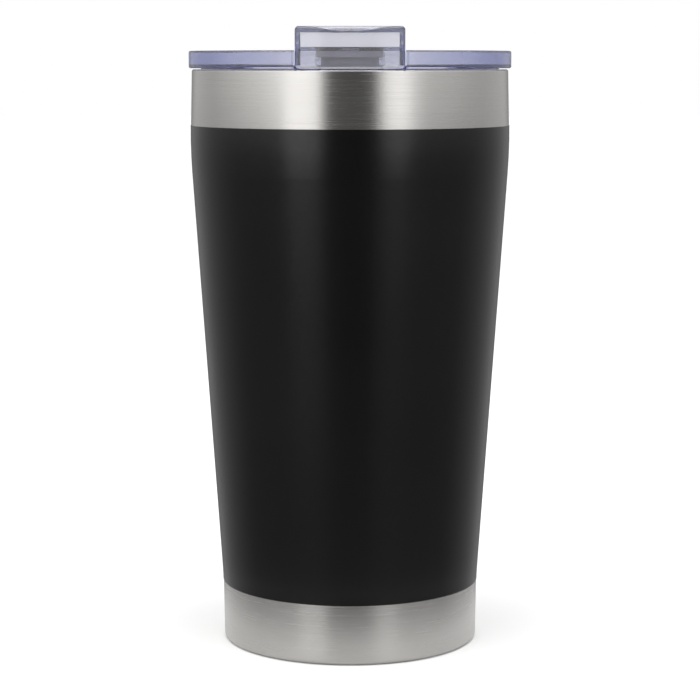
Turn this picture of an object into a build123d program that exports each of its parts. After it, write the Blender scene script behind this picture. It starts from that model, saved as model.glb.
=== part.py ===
from build123d import *

import os
from math import atan, cos, tan

# Insulated tumbler: a double-walled steel cup closed by a clear press-in lid with a flip flap.
# Millimetres, +Z up. The origin is the middle of the foot, and the flap's thumb tab faces -Y.

# ---- driving dimensions ----------------------------------------------------------------------

SHEET = 0.5  # thickness of the steel walls
COAT = 0.12  # thickness of the coating, which stands proud of the bare steel

# outer wall: foot corner, knee above the foot, shoulder under the top band, lip
FOOT_R = 35.24
KNEE_R, KNEE_Z = 35.5, 17.7
SHOULDER_R, SHOULDER_Z = 43.67, 137.0
LIP_R, LIP_Z = 43.17, 157.95
FOOT_BEND, KNEE_BEND, SHOULDER_BEND, LIP_BEND = 1.2, 60.0, 150.0, 0.6
FOOT_INNER_R = 32.4  # where the foot meets the base plate
SEAM_R = 42.4  # weld seam on the lip, between the outer wall and the liner
COAT_BOTTOM_Z, COAT_TOP_Z = 16.4, 142.8

# liner, along the side that the drink touches
LINER_FLOOR_R, LINER_FLOOR_Z = 30.5, 8.0
MOUTH_R, MOUTH_Z = 41.3, 146.0  # the bore is straight from here up to the lip
FLOOR_BEND, MOUTH_BEND = 7.0, 60.0

FOIL = 0.1
FOIL_BOTTOM_Z, FOIL_TOP_Z = 20.0, 138.0

# base plate and what it carries
PLATE_Z = 2.2  # underside of the plate
PORT_R = 1.0
PORT_WELL_R, PORT_WELL_DEPTH = 5.0, 0.8
SEAL_R, SEAL_RECESS = 4.2, 0.1
COVER_R = 30.9
COVER_GROOVE_R, COVER_GROOVE_WIDTH, COVER_GROOVE_DEPTH = 26.9, 1.0, 0.2
GETTER_R, GETTER_HEIGHT, GETTER_X = 3.8, 1.6, 16.0
CLIP_WIDTH, CLIP_SHEET, CLIP_FOOT, CLIP_SLACK = 3.0, 0.3, 3.0, 0.1
SMALL_ROUND = 0.3

# lid
GAP = 0.3  # free space between the cup, the lid and the flap
RIM_R = 44.0
RIM_BOTTOM_Z, RIM_TOP_Z = LIP_Z + GAP, 162.9
RECESS_X_R, RECESS_Y_R = 34.0, 38.5  # oval, so that the rim is thin in front and thick at the sides
DECK_TOP_Z, DECK_BOTTOM_Z = 158.9, 157.5
SKIRT_R, SKIRT_INNER_R, SKIRT_BOTTOM_Z = 40.7, 38.9, 149.6
RIM_ROUND, DECK_ROUND, SKIRT_ROUND, RIM_FOOT_CHAMFER = 0.5, 0.4, 0.4, 0.3
GROOVE_R, GROOVE_BOTTOM_Z, GROOVE_HEIGHT = 39.7, 151.6, 3.0
GASKET_BAND, GASKET_SLACK = 0.8, 0.1
FIN_R, FIN_SLOPE, FIN_TIP, FIN_PITCH, FIN_ROUND = MOUTH_R - 0.25, 0.4, 0.35, 1.65, 0.12
NOTCH_DEPTH = 16.0  # from the edge of the rim inwards
OPENING_LENGTH, OPENING_WIDTH, OPENING_Y = 16.0, 7.6, -27.0
VENT_R, VENT_Y = 1.1, 24.0

# flap
FLAP_R = RIM_R
FLAP_WIDTH = 28.2
FLAP_WALL = 1.6
TAB_TOP_Z, TAB_BACK_Y = 169.0, -38.2
PLATE_TOP_Z, PLATE_FRONT_Y = 164.3, -32.6
TAB_BEND, VALLEY_BEND = 4.0, 2.4  # on the outside of the step behind the thumb tab
TAPER_START_Y, TAPER_END_Y = -26.0, -9.6
HINGE_Y, HINGE_Z = -4.0, 161.35
BARREL_R, BARREL_LENGTH = 1.4, 16.8
PIN_R, PIN_CLEARANCE = 0.95, 0.05
EAR_WIDTH, EAR_R, EAR_ROOT = 2.0, 1.9, 0.5
HEEL_Y, HEEL_ROUND = HINGE_Y + 0.7, 0.4
WEB_FRONT_Y = HINGE_Y - 3.0  # the plate is thick from here back to the barrel
END_WALL_FRONT_Y, END_WALL_BACK_Y = -10.2, -8.6
HOLLOW_END_HALF = 7.2
TAB_CORNER = 1.0
OVERRUN = 1.0  # the side outline runs past the flap, so that it cuts cleanly

# plug under the flap
HEAD_LENGTH, HEAD_WIDTH, HEAD_BOTTOM_Z = 17.6, 9.6, 161.1
STEM_LENGTH, STEM_WIDTH, STEM_BOTTOM_Z, STEM_TAPER = 15.2, 6.8, 156.8, 3
STEM_ROUND = 0.6
STUD_R, STUD_HEIGHT = 2.5, 0.9

# ---- worked out from the above ---------------------------------------------------------------

OUTER_WALL = [
    (FOOT_INNER_R, 0),
    (FOOT_R, 0),
    (KNEE_R, KNEE_Z),
    (SHOULDER_R, SHOULDER_Z),
    (LIP_R, LIP_Z),
    (SEAM_R, LIP_Z),
]
OUTER_BENDS = [FOOT_BEND, KNEE_BEND, SHOULDER_BEND, LIP_BEND]

LINER_SLOPE = (MOUTH_R - LINER_FLOOR_R) / (MOUTH_Z - LINER_FLOOR_Z)
NOTCH_WIDTH = FLAP_WIDTH + 2 * GAP
half, barrel_half = FLAP_WIDTH / 2, BARREL_LENGTH / 2
SKIRTING_Z = DECK_TOP_Z + GAP  # lower edge of the flap's side walls
PLATE_BOTTOM_Z = PLATE_TOP_Z - FLAP_WALL
PAN_TOP_Z = PLATE_Z + SHEET


def liner_outside(z):
    """Radius of the liner's outer face at a height on its straight taper."""
    inside = LINER_FLOOR_R + LINER_SLOPE * (z - LINER_FLOOR_Z)
    return inside + SHEET / cos(atan(LINER_SLOPE))


def save(piece, name):
    """Label a finished piece and write it to its own file."""
    piece.part.label = name
    export_step(piece.part, f"parts/{name}.step")


os.makedirs("parts", exist_ok=True)

# ---- outer wall of the cup -------------------------------------------------------------------

with BuildPart() as outer_shell:
    with BuildSketch(Plane.XZ):
        with BuildLine():
            FilletPolyline(*OUTER_WALL, radius=OUTER_BENDS)
            offset(amount=SHEET, side=Side.LEFT)
        make_face()
    revolve(axis=Axis.Z)
save(outer_shell, "outer_shell")

# ---- coating on the middle of the outer wall -------------------------------------------------

with BuildPart() as black_coat:
    with BuildSketch(Plane.XZ):
        with BuildLine():
            FilletPolyline(*OUTER_WALL, radius=OUTER_BENDS)
            offset(amount=COAT, side=Side.RIGHT)
        make_face()
    revolve(axis=Axis.Z)
    split(bisect_by=Plane.XY.offset(COAT_BOTTOM_Z), keep=Keep.TOP)
    split(bisect_by=Plane.XY.offset(COAT_TOP_Z), keep=Keep.BOTTOM)
save(black_coat, "black_coat")

# ---- liner that holds the drink --------------------------------------------------------------

with BuildPart() as inner_cup:
    with BuildSketch(Plane.XZ):
        with BuildLine():
            FilletPolyline(
                (0, LINER_FLOOR_Z),
                (LINER_FLOOR_R, LINER_FLOOR_Z),
                (MOUTH_R, MOUTH_Z),
                (MOUTH_R, LIP_Z),
                (SEAM_R, LIP_Z),
                radius=[FLOOR_BEND, MOUTH_BEND, LIP_BEND],
            )
            offset(amount=SHEET, side=Side.RIGHT)
        make_face()
    revolve(axis=Axis.Z)
save(inner_cup, "inner_cup")

# ---- foil wrapped on the liner, inside the vacuum --------------------------------------------

with BuildPart() as radiation_foil:
    with BuildSketch(Plane.XZ):
        with BuildLine():
            Line(
                (liner_outside(FOIL_BOTTOM_Z), FOIL_BOTTOM_Z),
                (liner_outside(FOIL_TOP_Z), FOIL_TOP_Z),
            )
            offset(amount=FOIL, side=Side.RIGHT)
        make_face()
    revolve(axis=Axis.Z)
save(radiation_foil, "radiation_foil")

# ---- base plate: a pan with a well for the evacuation port -----------------------------------

with BuildPart() as base_plate:
    with BuildSketch(Plane.XZ):
        with BuildLine():
            FilletPolyline(
                (PORT_R, PLATE_Z + PORT_WELL_DEPTH),
                (PORT_WELL_R, PLATE_Z + PORT_WELL_DEPTH),
                (PORT_WELL_R + PORT_WELL_DEPTH, PLATE_Z),
                (FOOT_INNER_R - SHEET, PLATE_Z),
                (FOOT_INNER_R - SHEET, 0),
                radius=[SMALL_ROUND, 2 * SMALL_ROUND, SHEET],
            )
            offset(amount=SHEET, side=Side.LEFT)
        make_face()
    revolve(axis=Axis.Z)
save(base_plate, "base_plate")

# ---- pellet that seals the port --------------------------------------------------------------

with BuildPart() as vacuum_seal:
    with BuildSketch(Plane.XY.offset(PLATE_Z + PORT_WELL_DEPTH)):
        Circle(SEAL_R)
    extrude(amount=SEAL_RECESS - PORT_WELL_DEPTH)
    fillet(vacuum_seal.edges().sort_by(Axis.Z)[0], SMALL_ROUND)
    with BuildSketch(Plane.XY.offset(PLATE_Z + PORT_WELL_DEPTH)):
        Circle(PORT_R)
    extrude(amount=SHEET)
save(vacuum_seal, "vacuum_seal")

# ---- disc under the base plate, with a pressed ring ------------------------------------------

with BuildPart() as base_cover:
    with BuildSketch(Plane.XY.offset(PLATE_Z)):
        Circle(COVER_R)
    extrude(amount=-SHEET)
    fillet(base_cover.edges().sort_by(Axis.Z)[0], SMALL_ROUND)
    with BuildSketch(Plane.XY.offset(PLATE_Z - SHEET)):
        Circle(COVER_GROOVE_R)
        Circle(COVER_GROOVE_R - COVER_GROOVE_WIDTH, mode=Mode.SUBTRACT)
    extrude(amount=COVER_GROOVE_DEPTH, mode=Mode.SUBTRACT)
save(base_cover, "base_cover")

# ---- getter tablet and the strap that holds it on the base plate -----------------------------

with BuildPart() as getter:
    with BuildSketch(Plane.XY.offset(PAN_TOP_Z)):
        with Locations((GETTER_X, 0)):
            Circle(GETTER_R)
    extrude(amount=GETTER_HEIGHT)
    fillet(getter.edges(), SMALL_ROUND)
save(getter, "getter")

clip_half = GETTER_R + CLIP_SLACK
with BuildPart() as getter_clip:
    with BuildSketch(Plane.XZ.offset(-CLIP_WIDTH / 2)):
        with BuildLine():
            Polyline(
                (GETTER_X - GETTER_R - CLIP_FOOT, PAN_TOP_Z),
                (GETTER_X - clip_half, PAN_TOP_Z),
                (GETTER_X - clip_half, PAN_TOP_Z + GETTER_HEIGHT),
                (GETTER_X + clip_half, PAN_TOP_Z + GETTER_HEIGHT),
                (GETTER_X + clip_half, PAN_TOP_Z),
                (GETTER_X + GETTER_R + CLIP_FOOT, PAN_TOP_Z),
            )
            offset(amount=CLIP_SHEET, side=Side.LEFT)
        make_face()
    extrude(amount=CLIP_WIDTH)
save(getter_clip, "getter_clip")

# ---- lid: wide rim, recessed deck, skirt with a gasket groove --------------------------------

with BuildPart() as lid_body:
    with BuildSketch(Plane.XZ):
        with BuildLine():
            Polyline(
                (0, DECK_BOTTOM_Z),
                (SKIRT_INNER_R, DECK_BOTTOM_Z),
                (SKIRT_INNER_R, SKIRT_BOTTOM_Z),
                (SKIRT_R, SKIRT_BOTTOM_Z),
                (SKIRT_R, GROOVE_BOTTOM_Z),
                (GROOVE_R, GROOVE_BOTTOM_Z),
                (GROOVE_R, GROOVE_BOTTOM_Z + GROOVE_HEIGHT),
                (SKIRT_R, GROOVE_BOTTOM_Z + GROOVE_HEIGHT),
                (SKIRT_R, RIM_BOTTOM_Z),
                (RIM_R, RIM_BOTTOM_Z),
                (RIM_R, RIM_TOP_Z),
                (0, RIM_TOP_Z),
                close=True,
            )
        make_face()
    revolve(axis=Axis.Z)


    def level_edges(z):
        """Edges of the lid that lie at a height."""
        return lid_body.edges().filter_by_position(Axis.Z, z, z)


    # recess down to the deck, and the lid's round edges
    with BuildSketch(Plane.XY.offset(DECK_TOP_Z)):
        Ellipse(RECESS_X_R, RECESS_Y_R)
    extrude(amount=RIM_TOP_Z - DECK_TOP_Z, mode=Mode.SUBTRACT)
    chamfer(level_edges(RIM_BOTTOM_Z).sort_by(SortBy.LENGTH)[-1], RIM_FOOT_CHAMFER)
    fillet(level_edges(RIM_TOP_Z), RIM_ROUND)
    fillet(level_edges(DECK_TOP_Z), DECK_ROUND)
    fillet(level_edges(SKIRT_BOTTOM_Z), SKIRT_ROUND)

    # notch at the front: through the rim where the flap's front wall hangs, and down to the deck inside
    with BuildSketch(Plane.XY.offset(SKIRT_BOTTOM_Z)):
        with Locations((0, -RIM_R)):
            Rectangle(NOTCH_WIDTH, 2 * NOTCH_DEPTH)
        Circle(FLAP_R - FLAP_WALL - GAP, mode=Mode.SUBTRACT)
    extrude(amount=TAB_TOP_Z - SKIRT_BOTTOM_Z, mode=Mode.SUBTRACT)
    with BuildSketch(Plane.XY.offset(DECK_TOP_Z)):
        with Locations((0, -RIM_R)):
            Rectangle(NOTCH_WIDTH, 2 * NOTCH_DEPTH)
    extrude(amount=TAB_TOP_Z - DECK_TOP_Z, mode=Mode.SUBTRACT)

    # ears for the hinge pins, rooted a little way into the deck
    ear_root_z = DECK_TOP_Z - EAR_ROOT
    for ear_start in (-barrel_half - GAP - EAR_WIDTH, barrel_half + GAP):
        with BuildSketch(Plane.YZ.offset(ear_start)):
            with Locations((HINGE_Y, HINGE_Z)):
                Circle(EAR_R)
            with Locations((HINGE_Y, ear_root_z)):
                Rectangle(2 * EAR_R, HINGE_Z - ear_root_z, align=(Align.CENTER, Align.MIN))
        extrude(amount=EAR_WIDTH)
    with BuildSketch(Plane.YZ):
        with Locations((HINGE_Y, HINGE_Z)):
            Circle(PIN_R + PIN_CLEARANCE)
    extrude(amount=BARREL_LENGTH, both=True, mode=Mode.SUBTRACT)

    # drinking opening and vent
    with BuildSketch(Plane.XY.offset(DECK_TOP_Z)):
        with Locations((0, OPENING_Y)):
            SlotOverall(OPENING_LENGTH, OPENING_WIDTH)
        with Locations((0, VENT_Y)):
            Circle(VENT_R)
    extrude(amount=DECK_BOTTOM_Z - DECK_TOP_Z, mode=Mode.SUBTRACT)
save(lid_body, "lid_body")

# ---- silicone ring in the skirt's groove, with two wiping fins -------------------------------

gasket_z = GROOVE_BOTTOM_Z + GASKET_SLACK
gasket_top_z = GROOVE_BOTTOM_Z + GROOVE_HEIGHT - GASKET_SLACK
band_r = GROOVE_R + GASKET_BAND
gasket_profile = [(GROOVE_R, gasket_z)]
for fin_z in (gasket_z, gasket_z + FIN_PITCH):
    gasket_profile += [
        (band_r, fin_z),
        (FIN_R, fin_z + FIN_SLOPE),
        (FIN_R, fin_z + FIN_SLOPE + FIN_TIP),
        (band_r, fin_z + 2 * FIN_SLOPE + FIN_TIP),
    ]
gasket_profile.append((GROOVE_R, gasket_top_z))

with BuildPart() as lid_gasket:
    with BuildSketch(Plane.XZ):
        with BuildLine():
            Polyline(*gasket_profile, close=True)
        make_face()
    revolve(axis=Axis.Z)
    fin_edges = lid_gasket.edges().filter_by(GeomType.CIRCLE)
    fillet(fin_edges.filter_by(lambda edge: round(edge.radius, 3) == FIN_R), FIN_ROUND)
save(lid_gasket, "lid_gasket")

# ---- hollow inside the flap, under the tab and the plate -------------------------------------

inner_half, inner_r = half - FLAP_WALL, FLAP_R - FLAP_WALL
step_shift = FLAP_WALL * tan(atan((TAB_TOP_Z - PLATE_TOP_Z) / (PLATE_FRONT_Y - TAB_BACK_Y)) / 2)


def flap_outline(side, front_r, taper_start, rear_side, taper_end, rear):
    """Keystone seen from above: round front, straight sides, tapered to the hinge."""
    corner_y = -((front_r**2 - side**2) ** 0.5)
    ThreePointArc((-side, corner_y), (0, -front_r), (side, corner_y))
    Polyline(
        (side, corner_y),
        (side, taper_start),
        (rear_side, taper_end),
        (rear_side, rear),
        (-rear_side, rear),
        (-rear_side, taper_end),
        (-side, taper_start),
        (-side, corner_y),
    )


with BuildPart() as flap_hollow:
    with BuildSketch(Plane.XY.offset(SKIRTING_Z)):
        with BuildLine():
            flap_outline(
                inner_half,
                inner_r,
                TAPER_START_Y - SMALL_ROUND,
                HOLLOW_END_HALF,
                END_WALL_FRONT_Y - SMALL_ROUND,
                END_WALL_FRONT_Y,
            )
        make_face()
    extrude(amount=TAB_TOP_Z - SKIRTING_Z)
    with BuildSketch(Plane.YZ):
        with BuildLine():
            FilletPolyline(
                (-RIM_R, SKIRTING_Z),
                (-RIM_R, TAB_TOP_Z - FLAP_WALL),
                (TAB_BACK_Y - step_shift, TAB_TOP_Z - FLAP_WALL),
                (PLATE_FRONT_Y - step_shift, PLATE_BOTTOM_Z),
                (END_WALL_FRONT_Y, PLATE_BOTTOM_Z),
                (END_WALL_FRONT_Y, SKIRTING_Z),
                radius=[0, TAB_BEND - FLAP_WALL, VALLEY_BEND + FLAP_WALL, HEEL_ROUND, 0, 0],
                close=True,
            )
        make_face()
    extrude(amount=half, both=True, mode=Mode.INTERSECT)

# ---- flap: a tray with a raised thumb tab, hinged near the middle of the lid -----------------

with BuildPart() as flip_flap:
    # outline seen from above, as tall as the tab
    with BuildSketch(Plane.XY.offset(RIM_BOTTOM_Z)):
        with BuildLine():
            flap_outline(half, FLAP_R, TAPER_START_Y, barrel_half, TAPER_END_Y, HEEL_Y)
        make_face()
    extrude(amount=TAB_TOP_Z - RIM_BOTTOM_Z)

    # outline seen from the side, with the front wall carried down in front of the deck
    with BuildSketch(Plane.YZ):
        with BuildLine():
            FilletPolyline(
                (-FLAP_R - OVERRUN, RIM_BOTTOM_Z),
                (-FLAP_R - OVERRUN, TAB_TOP_Z),
                (TAB_BACK_Y, TAB_TOP_Z),
                (PLATE_FRONT_Y, PLATE_TOP_Z),
                (HEEL_Y, PLATE_TOP_Z),
                (HEEL_Y, HINGE_Z),
                (WEB_FRONT_Y, HINGE_Z),
                (END_WALL_BACK_Y, SKIRTING_Z),
                (TAB_BACK_Y, SKIRTING_Z),
                (TAB_BACK_Y, RIM_BOTTOM_Z),
                radius=[0, TAB_BEND, VALLEY_BEND, HEEL_ROUND, 0, 0, 0, 0, 0, 0],
                close=True,
            )
        make_face()
    extrude(amount=half + OVERRUN, both=True, mode=Mode.INTERSECT)

    # rounded edges: the tab's upright front corners, then the whole top and the front wall's foot
    upright = flip_flap.edges().filter_by(Axis.Z).sort_by(Axis.Y)[0:2]
    fillet(upright, TAB_CORNER)
    upper = flip_flap.edges().filter_by_position(Axis.Z, PLATE_TOP_Z - HEEL_ROUND, TAB_TOP_Z)
    upper = upper.filter_by(Axis.X, reverse=True).filter_by(Axis.Z, reverse=True)
    foot = flip_flap.faces().sort_by(Axis.Z)[0].edges().filter_by(Axis.X, reverse=True)
    fillet(upper + foot, TAB_CORNER)

    # the front wall clears the round edge of the deck
    with BuildSketch(Plane.XY.offset(RIM_BOTTOM_Z)):
        Circle(inner_r)
    extrude(amount=SKIRTING_Z - RIM_BOTTOM_Z, mode=Mode.SUBTRACT)
    add(flap_hollow.part, mode=Mode.SUBTRACT)

    # hinge barrel with a stub pin at each end
    with BuildSketch(Plane.YZ):
        with Locations((HINGE_Y, HINGE_Z)):
            Circle(BARREL_R)
    extrude(amount=barrel_half, both=True)
    with BuildSketch(Plane.YZ):
        with Locations((HINGE_Y, HINGE_Z)):
            Circle(PIN_R)
    extrude(amount=barrel_half + GAP + EAR_WIDTH, both=True)

    # blind hole for the plug's stud
    with BuildSketch(Plane.XY.offset(PLATE_BOTTOM_Z)):
        with Locations((0, OPENING_Y)):
            Circle(STUD_R)
    extrude(amount=STUD_HEIGHT, mode=Mode.SUBTRACT)
save(flip_flap, "flip_flap")

# ---- soft plug under the flap: head, stem into the drinking opening, stud --------------------

with BuildPart() as flap_plug:
    with BuildSketch(Plane.XY.offset(HEAD_BOTTOM_Z)):
        with Locations((0, OPENING_Y)):
            SlotOverall(HEAD_LENGTH, HEAD_WIDTH)
    extrude(amount=PLATE_BOTTOM_Z - HEAD_BOTTOM_Z)
    with BuildSketch(Plane.XY.offset(HEAD_BOTTOM_Z)):
        with Locations((0, OPENING_Y)):
            SlotOverall(STEM_LENGTH, STEM_WIDTH)
    extrude(amount=STEM_BOTTOM_Z - HEAD_BOTTOM_Z, taper=STEM_TAPER)
    fillet(flap_plug.faces().sort_by(Axis.Z)[0].edges(), STEM_ROUND)
    with BuildSketch(Plane.XY.offset(PLATE_BOTTOM_Z)):
        with Locations((0, OPENING_Y)):
            Circle(STUD_R)
    extrude(amount=STUD_HEIGHT)
save(flap_plug, "flap_plug")
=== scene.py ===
import math

import bmesh
import bpy
from mathutils import Matrix, Vector


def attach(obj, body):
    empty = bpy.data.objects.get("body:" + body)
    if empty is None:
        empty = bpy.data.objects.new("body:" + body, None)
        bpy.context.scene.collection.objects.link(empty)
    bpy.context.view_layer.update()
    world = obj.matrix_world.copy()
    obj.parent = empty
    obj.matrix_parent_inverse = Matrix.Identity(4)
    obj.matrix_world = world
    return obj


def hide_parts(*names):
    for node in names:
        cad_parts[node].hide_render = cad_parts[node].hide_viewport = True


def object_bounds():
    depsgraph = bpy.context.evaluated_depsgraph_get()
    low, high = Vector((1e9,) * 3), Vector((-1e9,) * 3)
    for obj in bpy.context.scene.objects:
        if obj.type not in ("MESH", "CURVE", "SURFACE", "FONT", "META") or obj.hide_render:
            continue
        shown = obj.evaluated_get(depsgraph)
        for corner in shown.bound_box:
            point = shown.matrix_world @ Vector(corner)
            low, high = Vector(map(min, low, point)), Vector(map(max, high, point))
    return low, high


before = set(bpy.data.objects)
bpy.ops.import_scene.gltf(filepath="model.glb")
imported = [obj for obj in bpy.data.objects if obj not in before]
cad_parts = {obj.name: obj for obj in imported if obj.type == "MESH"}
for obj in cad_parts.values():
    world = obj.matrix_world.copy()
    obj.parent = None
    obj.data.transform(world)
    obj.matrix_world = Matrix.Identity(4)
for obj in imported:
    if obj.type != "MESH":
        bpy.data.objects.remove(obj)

CAD_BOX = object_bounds()

# Insulated tumbler: brushed steel cup with a satin black coat, and a clear press-in lid with a flip
# flap. The cup's sizes are in millimetres, as in the CAD model, and MM turns them into metres.
MM = 0.001

# ---- sizes of the turned pieces ----------------------------------------------------------------

SHEET = 0.5  # thickness of the steel walls

# outer wall: foot corner, knee above the foot, shoulder under the top band, lip
FOOT_INNER_R = 32.4
FOOT_R = 35.24
KNEE_R, KNEE_Z = 35.5, 17.7
SHOULDER_R, SHOULDER_Z = 43.67, 137.0
LIP_R, LIP_Z = 43.17, 157.95
SEAM_R = 42.4  # weld seam on the lip, between the outer wall and the liner
FOOT_BEND, KNEE_BEND, SHOULDER_BEND, LIP_BEND = 1.2, 60.0, 150.0, 0.6

# liner, along the side that the drink touches
LINER_FLOOR_R, LINER_FLOOR_Z = 30.5, 8.0
MOUTH_R, MOUTH_Z = 41.3, 146.0  # the bore is straight from here up to the lip
FLOOR_BEND, MOUTH_BEND = 7.0, 60.0

OUTER_WALL = [
    (FOOT_INNER_R, 0),
    (FOOT_R, 0),
    (KNEE_R, KNEE_Z),
    (SHOULDER_R, SHOULDER_Z),
    (LIP_R, LIP_Z),
    (SEAM_R, LIP_Z),
]
OUTER_BENDS = [FOOT_BEND, KNEE_BEND, SHOULDER_BEND, LIP_BEND]
LINER = [
    (0, LINER_FLOOR_Z),
    (LINER_FLOOR_R, LINER_FLOOR_Z),
    (MOUTH_R, MOUTH_Z),
    (MOUTH_R, LIP_Z),
    (SEAM_R, LIP_Z),
]
LINER_BENDS = [FLOOR_BEND, MOUTH_BEND, LIP_BEND]

# fineness of the turned meshes
TURN_STEPS = 288
ARC_STEP, FEWEST_ARC_STEPS = math.radians(5), 4
ON_AXIS = 1e-6  # a smaller radius counts as a point on the axis
SHARP = math.radians(32)  # an edge that bends more than this is shaded sharp


def rounded(corners, radii):
    """Points of a polyline whose inner corners are rounded with arcs of the given radii."""
    points = [Vector(corners[0])]
    for before, corner, after, radius in zip(corners, corners[1:], corners[2:], radii):
        corner = Vector(corner)
        back, ahead = (Vector(before) - corner).normalized(), (Vector(after) - corner).normalized()
        half_turn = (math.pi - back.angle(ahead)) / 2
        inward = (back + ahead).normalized()
        middle = corner + inward * radius / math.cos(half_turn)
        start = corner + back * radius * math.tan(half_turn) - middle
        side = math.copysign(1, start.cross(-inward))
        steps = max(FEWEST_ARC_STEPS, round(2 * half_turn / ARC_STEP))
        for i in range(steps + 1):
            turn = Matrix.Rotation(side * 2 * half_turn * i / steps, 2)
            points.append(middle + turn @ start)
    return points + [Vector(corners[-1])]


def beside(path, distance):
    """The path moved sideways, to the right of its direction."""
    moved = []
    for i, point in enumerate(path):
        before = (point - path[i - 1]).normalized() if i else None
        after = (path[i + 1] - point).normalized() if i + 1 < len(path) else None
        along = ((before or after) + (after or before)).normalized()
        stretch = along.dot(after or before)
        moved.append(point + Vector((along.y, -along.x)) * distance / stretch)
    return moved


def turned(name, outline, body, material, node):
    """A piece turned about Z from a closed outline of radii and heights. It stands for a CAD node."""
    verts, rings = [], []
    for r, z in outline:
        if r < ON_AXIS:
            rings.append([len(verts)] * TURN_STEPS)
            verts.append((0, 0, z * MM))
            continue
        rings.append(list(range(len(verts), len(verts) + TURN_STEPS)))
        for i in range(TURN_STEPS):
            a = 2 * math.pi * i / TURN_STEPS
            verts.append((r * MM * math.sin(a), -r * MM * math.cos(a), z * MM))
    faces = []
    for low, high in zip(rings, rings[1:] + rings[:1]):
        for i in range(TURN_STEPS):
            j = (i + 1) % TURN_STEPS
            corners = []
            for v in (low[i], low[j], high[j], high[i]):
                if v not in corners:
                    corners.append(v)
            if len(corners) > 2:
                faces.append(corners)
    mesh = bpy.data.meshes.new(name)
    mesh.from_pydata(verts, [], faces)
    solid = bmesh.new()
    solid.from_mesh(mesh)
    bmesh.ops.recalc_face_normals(solid, faces=solid.faces)
    solid.to_mesh(mesh)
    solid.free()
    piece = bpy.data.objects.new(name, mesh)
    bpy.context.scene.collection.objects.link(piece)
    mesh.shade_smooth()
    mesh.set_sharp_from_angle(angle=SHARP)
    mesh.materials.append(material)
    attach(piece, body)
    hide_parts(node)
    return piece


# ---- node trees --------------------------------------------------------------------------------

MIX_FACTOR, MIX_LOW, MIX_HIGH, MIX_RESULT = 0, 6, 7, 2  # sockets of a colour mix, by their place
TWO_NOISES = (0.5, 1.1)  # where most of the sum of two noises lies


def rgb(r, g, b):
    return (r, g, b, 1.0)


def grey(level):
    return rgb(level, level, level)


class Tree:
    """A short way to build a node tree."""

    def __init__(self, owner):
        owner.use_nodes = True
        self.tree = owner.node_tree
        self.tree.nodes.clear()

    def fill(self, socket, value):
        """A value that is itself a socket is linked to this one, and anything else is set on it."""
        if isinstance(value, bpy.types.NodeSocket):
            self.tree.links.new(value, socket)
        else:
            socket.default_value = value

    def add(self, kind, inputs=(), **settings):
        """A new node with its settings and its inputs."""
        node = self.tree.nodes.new(kind)
        for key, value in settings.items():
            setattr(node, key, value)
        for key, value in dict(inputs).items():
            self.fill(node.inputs[key], value)
        return node

    def place(self):
        """Points in metres, in the object's own frame."""
        return self.add("ShaderNodeTexCoord").outputs["Object"]

    def noise(self, scale, detail, roughness=0.5):
        """Noise of a number of grains per metre, which may differ along X, Y and Z."""
        size = scale if isinstance(scale, tuple) else (scale,) * 3
        stretched = self.add("ShaderNodeMapping", {"Vector": self.place(), "Scale": size}).outputs[0]
        inputs = {"Vector": stretched, "Scale": 1.0, "Detail": detail, "Roughness": roughness}
        return self.add("ShaderNodeTexNoise", inputs).outputs["Fac"]

    def span(self, value, low, high, start=0.0, end=1.0):
        """The value spread from the range start to end onto the range low to high."""
        inputs = {"Value": value, "From Min": start, "From Max": end, "To Min": low, "To Max": high}
        return self.add("ShaderNodeMapRange", inputs).outputs[0]

    def blend(self, factor, low, high):
        """A colour between two others."""
        node = self.add("ShaderNodeMix", data_type="RGBA")
        for key, value in ((MIX_FACTOR, factor), (MIX_LOW, low), (MIX_HIGH, high)):
            self.fill(node.inputs[key], value)
        return node.outputs[MIX_RESULT]

    def math(self, operation, a, b):
        """One step of arithmetic on two values."""
        return self.add("ShaderNodeMath", {0: a, 1: b}, operation=operation).outputs[0]

    def sum(self, a, b, weight):
        """a plus b times weight."""
        return self.add("ShaderNodeMath", {0: b, 1: weight, 2: a}, operation="MULTIPLY_ADD").outputs[0]

    def around_axis(self):
        """Tangents that run round the cup's axis, for brushed metal."""
        return self.add("ShaderNodeTangent", direction_type="RADIAL", axis="Z").outputs[0]

    def bump(self, height, distance, strength):
        inputs = {"Height": height, "Distance": distance, "Strength": strength}
        return self.add("ShaderNodeBump", inputs).outputs[0]

    def surface(self, **sockets):
        """The material's Principled shader, with its sockets' names written with _ for a space."""
        inputs = {key.replace("_", " "): value for key, value in sockets.items()}
        shader = self.add("ShaderNodeBsdfPrincipled", inputs)
        self.output = self.add("ShaderNodeOutputMaterial", {"Surface": shader.outputs[0]})
        return shader


def material(name):
    made = bpy.data.materials.new(name)
    return made, Tree(made)


# ---- materials ---------------------------------------------------------------------------------


def brushed_steel():
    """Steel brushed round the axis: the scratches run level, so highlights spread up and down."""
    made, t = material("brushed steel")
    hairs = t.noise((55, 55, 9000), detail=4, roughness=0.7)
    bands = t.noise((22, 22, 1500), detail=3, roughness=0.6)
    cloud = t.noise(45, detail=2)
    grain = t.sum(hairs, bands, 0.6)
    patches = t.span(cloud, 0, 1, start=0.3, end=0.7)
    tint = t.blend(patches, rgb(0.575, 0.560, 0.540), rgb(0.635, 0.622, 0.604))
    t.surface(
        Base_Color=t.blend(t.span(grain, 0, 1, *TWO_NOISES), tint, rgb(0.60, 0.585, 0.565)),
        Metallic=1.0,
        Roughness=t.span(grain, 0.22, 0.29, *TWO_NOISES),
        Anisotropic=0.65,
        Anisotropic_Rotation=0.25,
        Tangent=t.around_axis(),
        Normal=t.bump(grain, 0.00002, 0.28),
    )
    return made


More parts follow.
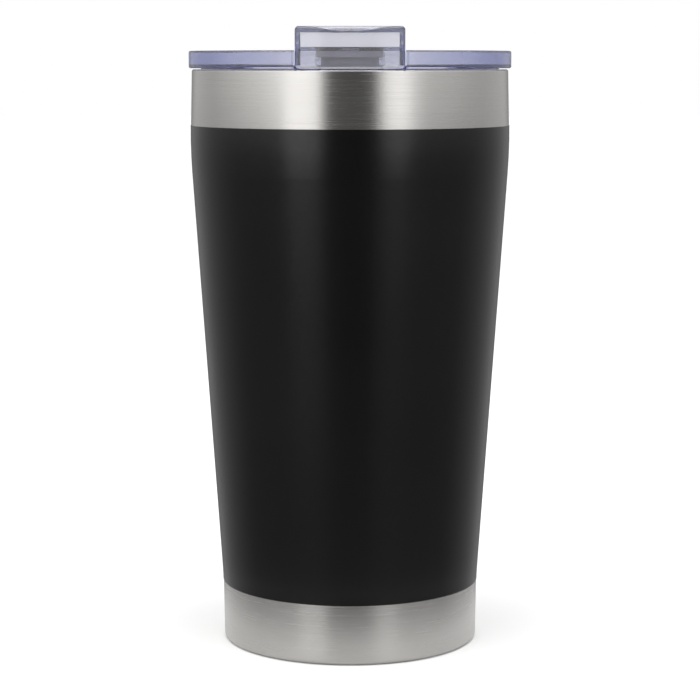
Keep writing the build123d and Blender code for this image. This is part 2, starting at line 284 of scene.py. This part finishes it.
def satin_steel():
    """Electropolished steel: softer and more even than the brushed bands."""
    made, t = material("satin steel")
    rings = t.noise((30, 30, 3500), detail=3, roughness=0.6)
    cloud = t.noise(60, detail=3)
    t.surface(
        Base_Color=t.blend(cloud, rgb(0.52, 0.51, 0.50), rgb(0.60, 0.59, 0.58)),
        Metallic=1.0,
        Roughness=t.span(rings, 0.24, 0.34),
        Anisotropic=0.5,
        Anisotropic_Rotation=0.25,
        Tangent=t.around_axis(),
        Normal=t.bump(rings, 0.00002, 0.3),
    )
    return made


def black_coat():
    """Baked powder coat: satin, with the faint orange peel of paint that flowed as it melted."""
    made, t = material("black coat")
    peel = t.noise(900, detail=2)
    speck = t.noise(5200, detail=2, roughness=0.6)
    cloud = t.noise(28, detail=3)
    t.surface(
        Base_Color=t.blend(cloud, rgb(0.0015, 0.0015, 0.0016), rgb(0.0030, 0.0030, 0.0031)),
        Roughness=t.span(t.sum(peel, cloud, 0.5), 0.20, 0.27, start=0.4, end=1.1),
        Normal=t.bump(t.sum(peel, speck, 0.25), 0.000012, 0.5),
    )
    return made


def clear_plastic():
    """Clear moulded plastic with a violet-blue dye that deepens where it is seen edge on."""
    made, t = material("clear plastic")
    flow = t.noise(130, detail=2)
    haze = t.noise(2600, detail=2)
    t.surface(
        Base_Color=t.blend(flow, rgb(0.86, 0.86, 0.88), rgb(0.89, 0.89, 0.91)),
        Roughness=t.span(haze, 0.0, 0.03),
        IOR=1.49,
        Transmission_Weight=0.95,
        Normal=t.bump(flow, 0.00012, 0.12),
    )
    dye = t.add("ShaderNodeVolumeAbsorption", {"Color": rgb(0.20, 0.25, 0.62), "Density": 52.0})
    t.fill(t.output.inputs["Volume"], dye.outputs[0])
    return made


def silicone():
    """Milky silicone: light goes some way in, and the surface is dull from the mould."""
    made, t = material("silicone")
    cloud = t.noise(260, detail=3)
    grain = t.noise(3000, detail=2)
    t.surface(
        Base_Color=t.blend(cloud, rgb(0.50, 0.48, 0.54), rgb(0.60, 0.58, 0.64)),
        Roughness=t.span(grain, 0.40, 0.52),
        Subsurface_Weight=0.4,
        Subsurface_Radius=(0.002, 0.002, 0.0024),
        Subsurface_Scale=1.0,
        Normal=t.bump(grain, 0.00003, 0.4),
    )
    return made


def foil():
    """Bright aluminium foil, wrinkled where it was wrapped."""
    made, t = material("foil")
    folds = t.noise((160, 160, 45), detail=4, roughness=0.65)
    t.surface(
        Base_Color=t.blend(folds, rgb(0.72, 0.72, 0.73), rgb(0.88, 0.88, 0.88)),
        Metallic=1.0,
        Roughness=t.span(folds, 0.12, 0.28),
        Normal=t.bump(folds, 0.0004, 0.6),
    )
    return made


def seal_glass():
    """Fused glass pellet, grey-green, with small bubbles."""
    made, t = material("seal glass")
    bubbles = t.noise(2200, detail=2)
    t.surface(
        Base_Color=t.blend(bubbles, rgb(0.30, 0.32, 0.30), rgb(0.42, 0.44, 0.41)),
        Roughness=t.span(bubbles, 0.05, 0.16),
        IOR=1.52,
        Transmission_Weight=0.5,
        Normal=t.bump(bubbles, 0.00004, 0.4),
    )
    return made


def getter_metal():
    """Pressed and sintered metal powder."""
    made, t = material("getter")
    grain = t.noise(6000, detail=3, roughness=0.7)
    t.surface(
        Base_Color=t.blend(grain, rgb(0.13, 0.13, 0.135), rgb(0.26, 0.26, 0.27)),
        Metallic=0.8,
        Roughness=t.span(grain, 0.5, 0.75),
        Normal=t.bump(grain, 0.00008, 0.7),
    )
    return made


# ---- pieces ------------------------------------------------------------------------------------

# the material slots, and what makes the material of each
MATERIALS = {
    "brushed_steel": brushed_steel,
    "satin_steel": satin_steel,
    "black_coat": black_coat,
    "clear_plastic": clear_plastic,
    "silicone": silicone,
    "foil": foil,
    "seal_glass": seal_glass,
    "getter": getter_metal,
}

# CAD nodes that keep their shape, and the slot of each
KEPT_NODES = {
    "base_cover": "brushed_steel",
    "base_plate": "satin_steel",
    "getter_clip": "satin_steel",
    "black_coat": "black_coat",
    "lid_body": "clear_plastic",
    "flip_flap": "clear_plastic",
    "lid_gasket": "silicone",
    "flap_plug": "silicone",
    "radiation_foil": "foil",
    "vacuum_seal": "seal_glass",
    "getter": "getter",
}


def make_pieces():
    """The two steel walls as finer meshes, and the materials of all the other pieces."""
    made = {slot: make() for slot, make in MATERIALS.items()}

    wall = rounded(OUTER_WALL, OUTER_BENDS)
    wall += beside(wall, -SHEET)[::-1]
    turned("steel_wall", wall, "cup", made["brushed_steel"], "outer_shell")
    liner = rounded(LINER, LINER_BENDS)
    liner += beside(liner, SHEET)[::-1]
    turned("steel_liner", liner, "cup", made["satin_steel"], "inner_cup")

    for node, slot in KEPT_NODES.items():
        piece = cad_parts[node]
        piece.data.materials.clear()
        piece.data.materials.append(made[slot])


# ---- studio ------------------------------------------------------------------------------------

# The room as polished parts reflect it. Heights are the upward part of a direction: 1 is straight
# up, 0 is level and -1 is straight down.

# the walls by the angle round the object, in degrees from the front, to the right: their brightness,
# and how much lower than the rest they reach, as a part of SOFTBOX_REACH
WALLS = [
    (-180, 0.24, 0),
    (-160, 0.30, 0),
    (-148, 0.60, 0),
    (-115, 0.60, 0),
    (-66, 1.25, 0),
    (-50, 1.65, 0),
    (-43, 1.78, 1),
    (-23, 1.70, 1),
    (-17, 0.06, 0),
    (17, 0.04, 0),
    (26, 1.45, 0.8),
    (38, 1.65, 0.8),
    (47, 1.30, 0),
    (57, 0.92, 0),
    (90, 0.74, 0),
    (110, 0.60, 0),
    (148, 0.60, 0),
    (160, 0.30, 0),
    (180, 0.24, 0),
]
BRIGHTEST = 1.8  # the ramp that holds the walls can't go past 1, so it holds them in parts of this
WALL_FOOT = (-0.05, 0.03)  # heights between which the walls fade away
SOFTBOX_REACH = 0.135

# below the walls the room is as bright as they are, up to a limit that rises from front to back
FRONT_LIMIT, BACK_LIMIT = 0.17, 0.45
LIMIT_RISE = (0, 0.8)  # where it rises, by the backward part of a direction
# and steeply below, where a reflection meets the floor close to the cup, it is never darker than this
NEAR_FLOOR, NEAR_FLOOR_FADE = 0.2, (-0.34, -0.24)

CEILING, CEILING_FADE = 1.6, (0.5, 0.8)


def studio():
    """White surroundings, and the room that polished parts reflect: softboxes and a dark front."""
    world = bpy.data.worlds.new("studio")
    bpy.context.scene.world = world
    t = Tree(world)
    direction = t.add("ShaderNodeTexCoord").outputs["Generated"]
    parts = t.add("ShaderNodeSeparateXYZ", {0: direction}).outputs
    right, back, up = parts["X"], parts["Y"], parts["Z"]

    angle = t.math("ARCTAN2", right, t.math("MULTIPLY", back, -1.0))
    ramp = t.add("ShaderNodeValToRGB", {0: t.span(angle, 0, 1, -math.pi, math.pi)})
    stops = ramp.color_ramp.elements
    while len(stops) < len(WALLS):
        stops.new(0.5)
    for stop, (degrees, level, lowered) in zip(stops, WALLS):
        stop.position = (degrees + 180) / 360
        stop.color = (*[level / BRIGHTEST] * 3, lowered)
    held, reach = ramp.outputs["Color"], ramp.outputs["Alpha"]
    walls = t.add("ShaderNodeVectorMath", {0: held, "Scale": BRIGHTEST}, operation="SCALE").outputs[0]

    limit = t.span(back, FRONT_LIMIT / BRIGHTEST, BACK_LIMIT / BRIGHTEST, *LIMIT_RISE)
    below = t.math("MULTIPLY", t.math("MINIMUM", held, limit), BRIGHTEST)
    below = t.math("MAXIMUM", below, t.span(up, NEAR_FLOOR, 0, *NEAR_FLOOR_FADE))

    height = t.sum(up, reach, SOFTBOX_REACH)
    room = t.blend(t.span(height, 1, 0, *WALL_FOOT), walls, below)
    room = t.blend(t.span(up, 0, 1, *CEILING_FADE), room, grey(CEILING))

    ray = t.add("ShaderNodeLightPath").outputs
    seen = t.math("MAXIMUM", ray["Is Camera Ray"], ray["Is Transmission Ray"])
    light = t.add("ShaderNodeBackground", {0: t.blend(seen, room, grey(1.0))})
    t.add("ShaderNodeOutputWorld", {0: light.outputs[0]})


# ---- floor, light and camera, in metres --------------------------------------------------------

FLOOR_HALF = 6.0  # from the middle to each side
FLOOR_PAINT = 0.87
# polished parts reflect the floor only near the cup's foot, and the room beyond it
FLOOR_FADE = (0.05, 0.09)  # distances from the axis between which it disappears from reflections
FLOOR_THINNED = 0.42  # how much of it is already gone inside the first


def floor():
    """A large plain pale floor."""
    h = FLOOR_HALF
    mesh = bpy.data.meshes.new("floor")
    mesh.from_pydata([(-h, -h, 0), (h, -h, 0), (h, h, 0), (-h, h, 0)], [], [(0, 1, 2, 3)])
    plane = bpy.data.objects.new("floor", mesh)
    bpy.context.scene.collection.objects.link(plane)
    made, t = material("floor")
    paint = t.surface(Base_Color=grey(FLOOR_PAINT), Roughness=0.9, Specular_IOR_Level=0.0)
    distance = t.add("ShaderNodeVectorMath", {0: t.place()}, operation="LENGTH").outputs["Value"]
    reflected = t.add("ShaderNodeLightPath").outputs["Is Glossy Ray"]
    gone = t.math("MULTIPLY", t.span(distance, FLOOR_THINNED, 1, *FLOOR_FADE), reflected)
    clear = t.add("ShaderNodeBsdfTransparent")
    mix = t.add("ShaderNodeMixShader", {0: gone, 1: paint.outputs[0], 2: clear.outputs[0]})
    t.fill(t.output.inputs["Surface"], mix.outputs[0])
    mesh.materials.append(made)


# seen from the object's middle: the angle above level, towards the front, and how far away it is
TOP_LIGHT_RISE, TOP_LIGHT_DISTANCE = math.radians(80), 0.8
TOP_LIGHT_SIZE, TOP_LIGHT_POWER = 0.7, 3.0


def top_light():
    """A square area light that faces the middle of the object."""
    data = bpy.data.lights.new("top light", "AREA")
    data.size = TOP_LIGHT_SIZE
    data.energy = TOP_LIGHT_POWER
    lamp = bpy.data.objects.new("top light", data)
    away = Vector((0, -math.cos(TOP_LIGHT_RISE), math.sin(TOP_LIGHT_RISE)))
    lamp.location = (CAD_BOX[0] + CAD_BOX[1]) / 2 + away * TOP_LIGHT_DISTANCE
    lamp.rotation_euler = away.to_track_quat("Z", "Y").to_euler()
    bpy.context.scene.collection.objects.link(lamp)


SENSOR, LENS = 36.0, 113.1  # millimetres
EYE_DISTANCE, EYE_HEIGHT = 0.6065, 0.1598  # in front of the cup's axis, and above the floor
EYE_TILT = math.radians(82.55)  # a little down, since 90 degrees is level
CLIP_START, CLIP_END = 0.01, 20.0


def camera():
    """The photo's view: straight in front of the cup, and a little from above."""
    data = bpy.data.cameras.new("camera")
    data.sensor_width, data.lens = SENSOR, LENS
    data.clip_start, data.clip_end = CLIP_START, CLIP_END
    eye = bpy.data.objects.new("camera", data)
    eye.location = (0, -EYE_DISTANCE, EYE_HEIGHT)
    eye.rotation_euler = (EYE_TILT, 0, 0)
    bpy.context.scene.collection.objects.link(eye)
    bpy.context.scene.camera = eye


# light goes round the clear lid many times before it comes out
MOST_BOUNCES, GLOSSY_BOUNCES, TRANSMISSION_BOUNCES = 20, 12, 16


def light_paths():
    cycles = bpy.context.scene.cycles
    cycles.max_bounces = MOST_BOUNCES
    cycles.glossy_bounces = GLOSSY_BOUNCES
    cycles.transmission_bounces = TRANSMISSION_BOUNCES


make_pieces()
studio()
floor()
top_light()
camera()
light_paths()
bpy.context.scene.view_settings.view_transform = "Standard"
